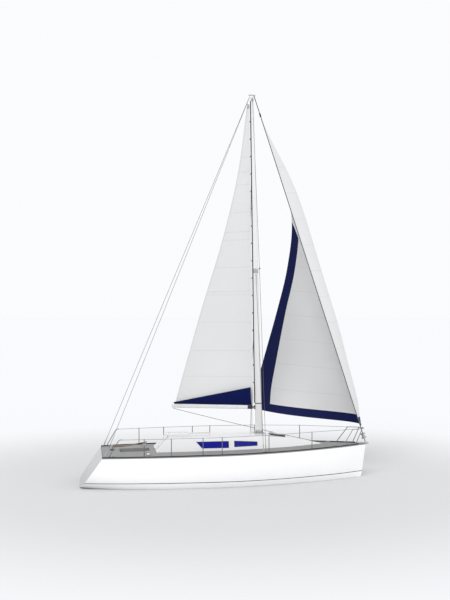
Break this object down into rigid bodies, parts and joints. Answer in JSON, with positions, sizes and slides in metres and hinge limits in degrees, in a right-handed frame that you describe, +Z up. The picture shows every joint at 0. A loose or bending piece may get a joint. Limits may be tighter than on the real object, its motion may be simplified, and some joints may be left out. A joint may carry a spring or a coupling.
{
  "type": "sailing yacht",
  "caption": "Sloop-rigged cruising sailboat with eased mainsail and full genoa, reverse transom, low coachroof, fin keel, spade rudder and tiller.",
  "frame": {"origin": "on the design waterline, on the centreline, halfway along the hull", "axes": "+X towards the bow, +Y to port, +Z up along the mast"},
  "size_m": [9.7164, 3.9152, 14.54],
  "materials": {
    "gelcoat_white": "glossy white gelcoat",
    "deck_grey": "matt grey non-slip deck",
    "black_trim": "satin black",
    "window_blue": "dark blue tinted acrylic",
    "hatch_acrylic": "smoked acrylic",
    "stainless": "polished stainless steel",
    "spar_aluminium": "light grey painted aluminium",
    "boom_white": "white painted aluminium",
    "sailcloth": "light grey woven sailcloth",
    "navy_canvas": "navy acrylic canvas",
    "antifouling": "matt dark antifouling",
    "varnished_wood": "varnished teak",
    "bronze": "bronze",
    "engine_grey": "grey enamel"
  },
  "bodies": {
    "hull": {"hull": "gelcoat_white", "deck": "deck_grey", "coachroof": "gelcoat_white", "window_aft_starboard": "window_blue", "window_aft_port": "window_blue", "window_forward_starboard": "window_blue", "window_forward_port": "window_blue", "hatch_runners": "gelcoat_white", "companionway_washboard": "gelcoat_white", "cockpit_well": "deck_grey", "forehatch_frame": "black_trim", "keel": "antifouling", "rudder_bearing": "black_trim", "engine": "engine_grey", "saildrive_leg": "engine_grey", "mast": "spar_aluminium", "mast_step": "stainless", "mast_track": "black_trim", "masthead_fitting": "stainless", "spreader_starboard": "spar_aluminium", "spreader_port": "spar_aluminium", "shrouds_starboard": "stainless", "shrouds_port": "stainless", "backstay_starboard": "stainless", "backstay_port": "stainless", "forestay": "stainless", "stemhead_fitting": "stainless", "furler_drum": "stainless", "gooseneck": "black_trim", "genoa": "sailcloth", "toe_rail_starboard": "black_trim", "toe_rail_port": "black_trim", "guard_rail_starboard": "stainless", "guard_rail_port": "stainless", "pulpit": "stainless", "winch_starboard": "stainless", "winch_port": "stainless", "cleat_aft_starboard": "stainless", "cleat_aft_port": "stainless", "cleat_bow_starboard": "stainless", "cleat_bow_port": "stainless"},
    "boom": {"boom": "boom_white", "boom_fitting": "black_trim", "mainsail": "sailcloth", "sail_bag": "navy_canvas"},
    "rudder": {"rudder": "antifouling", "tiller": "varnished_wood"},
    "propeller": {"propeller": "bronze"},
    "companionway_hatch": {"companionway_hatch": "gelcoat_white"},
    "forehatch_lid": {"forehatch_lid": "hatch_acrylic"},
    "anchor_locker_lid": {"anchor_locker_lid": "deck_grey"},
    "locker_lid_starboard": {"locker_lid_starboard": "deck_grey"},
    "locker_lid_port": {"locker_lid_port": "deck_grey"}
  },
  "joints": [
    {"name": "boom_swing", "type": "hinge", "parent": "hull", "child": "boom", "pos_m": [0.95942, 0, 2.4], "axis": [-0.0138, 0, 0.9999], "range_deg": [-49, 101]},
    {"name": "rudder_turn", "type": "hinge", "parent": "hull", "child": "rudder", "pos_m": [-3.74, 0, -0.24], "axis": [0, 0, 1], "range_deg": [-35, 35]},
    {"name": "propeller_spin", "type": "hinge", "parent": "hull", "child": "propeller", "pos_m": [-2.1006, 0, -0.7], "axis": [1, 0, 0], "continuous": true},
    {"name": "companionway_slide", "type": "slide", "parent": "hull", "child": "companionway_hatch", "axis": [1, 0, 0], "range_m": [0, 0.62]},
    {"name": "forehatch_swing", "type": "hinge", "parent": "hull", "child": "forehatch_lid", "pos_m": [1.98, 0, 1.45412], "axis": [0, 1, 0], "range_deg": [0, 105]},
    {"name": "anchor_locker_swing", "type": "hinge", "parent": "hull", "child": "anchor_locker_lid", "pos_m": [3.72, 0, 1.13714], "axis": [0, -1, 0], "range_deg": [0, 110]},
    {"name": "locker_swing_starboard", "type": "hinge", "parent": "hull", "child": "locker_lid_starboard", "pos_m": [-3.07, -0.92, 1.03911], "axis": [0.9999, 0, 0.0126], "range_deg": [0, 100]},
    {"name": "locker_swing_port", "type": "hinge", "parent": "hull", "child": "locker_lid_port", "pos_m": [-3.07, 0.92, 1.03911], "axis": [-0.9999, 0, -0.0126], "range_deg": [0, 100]}
  ]
}
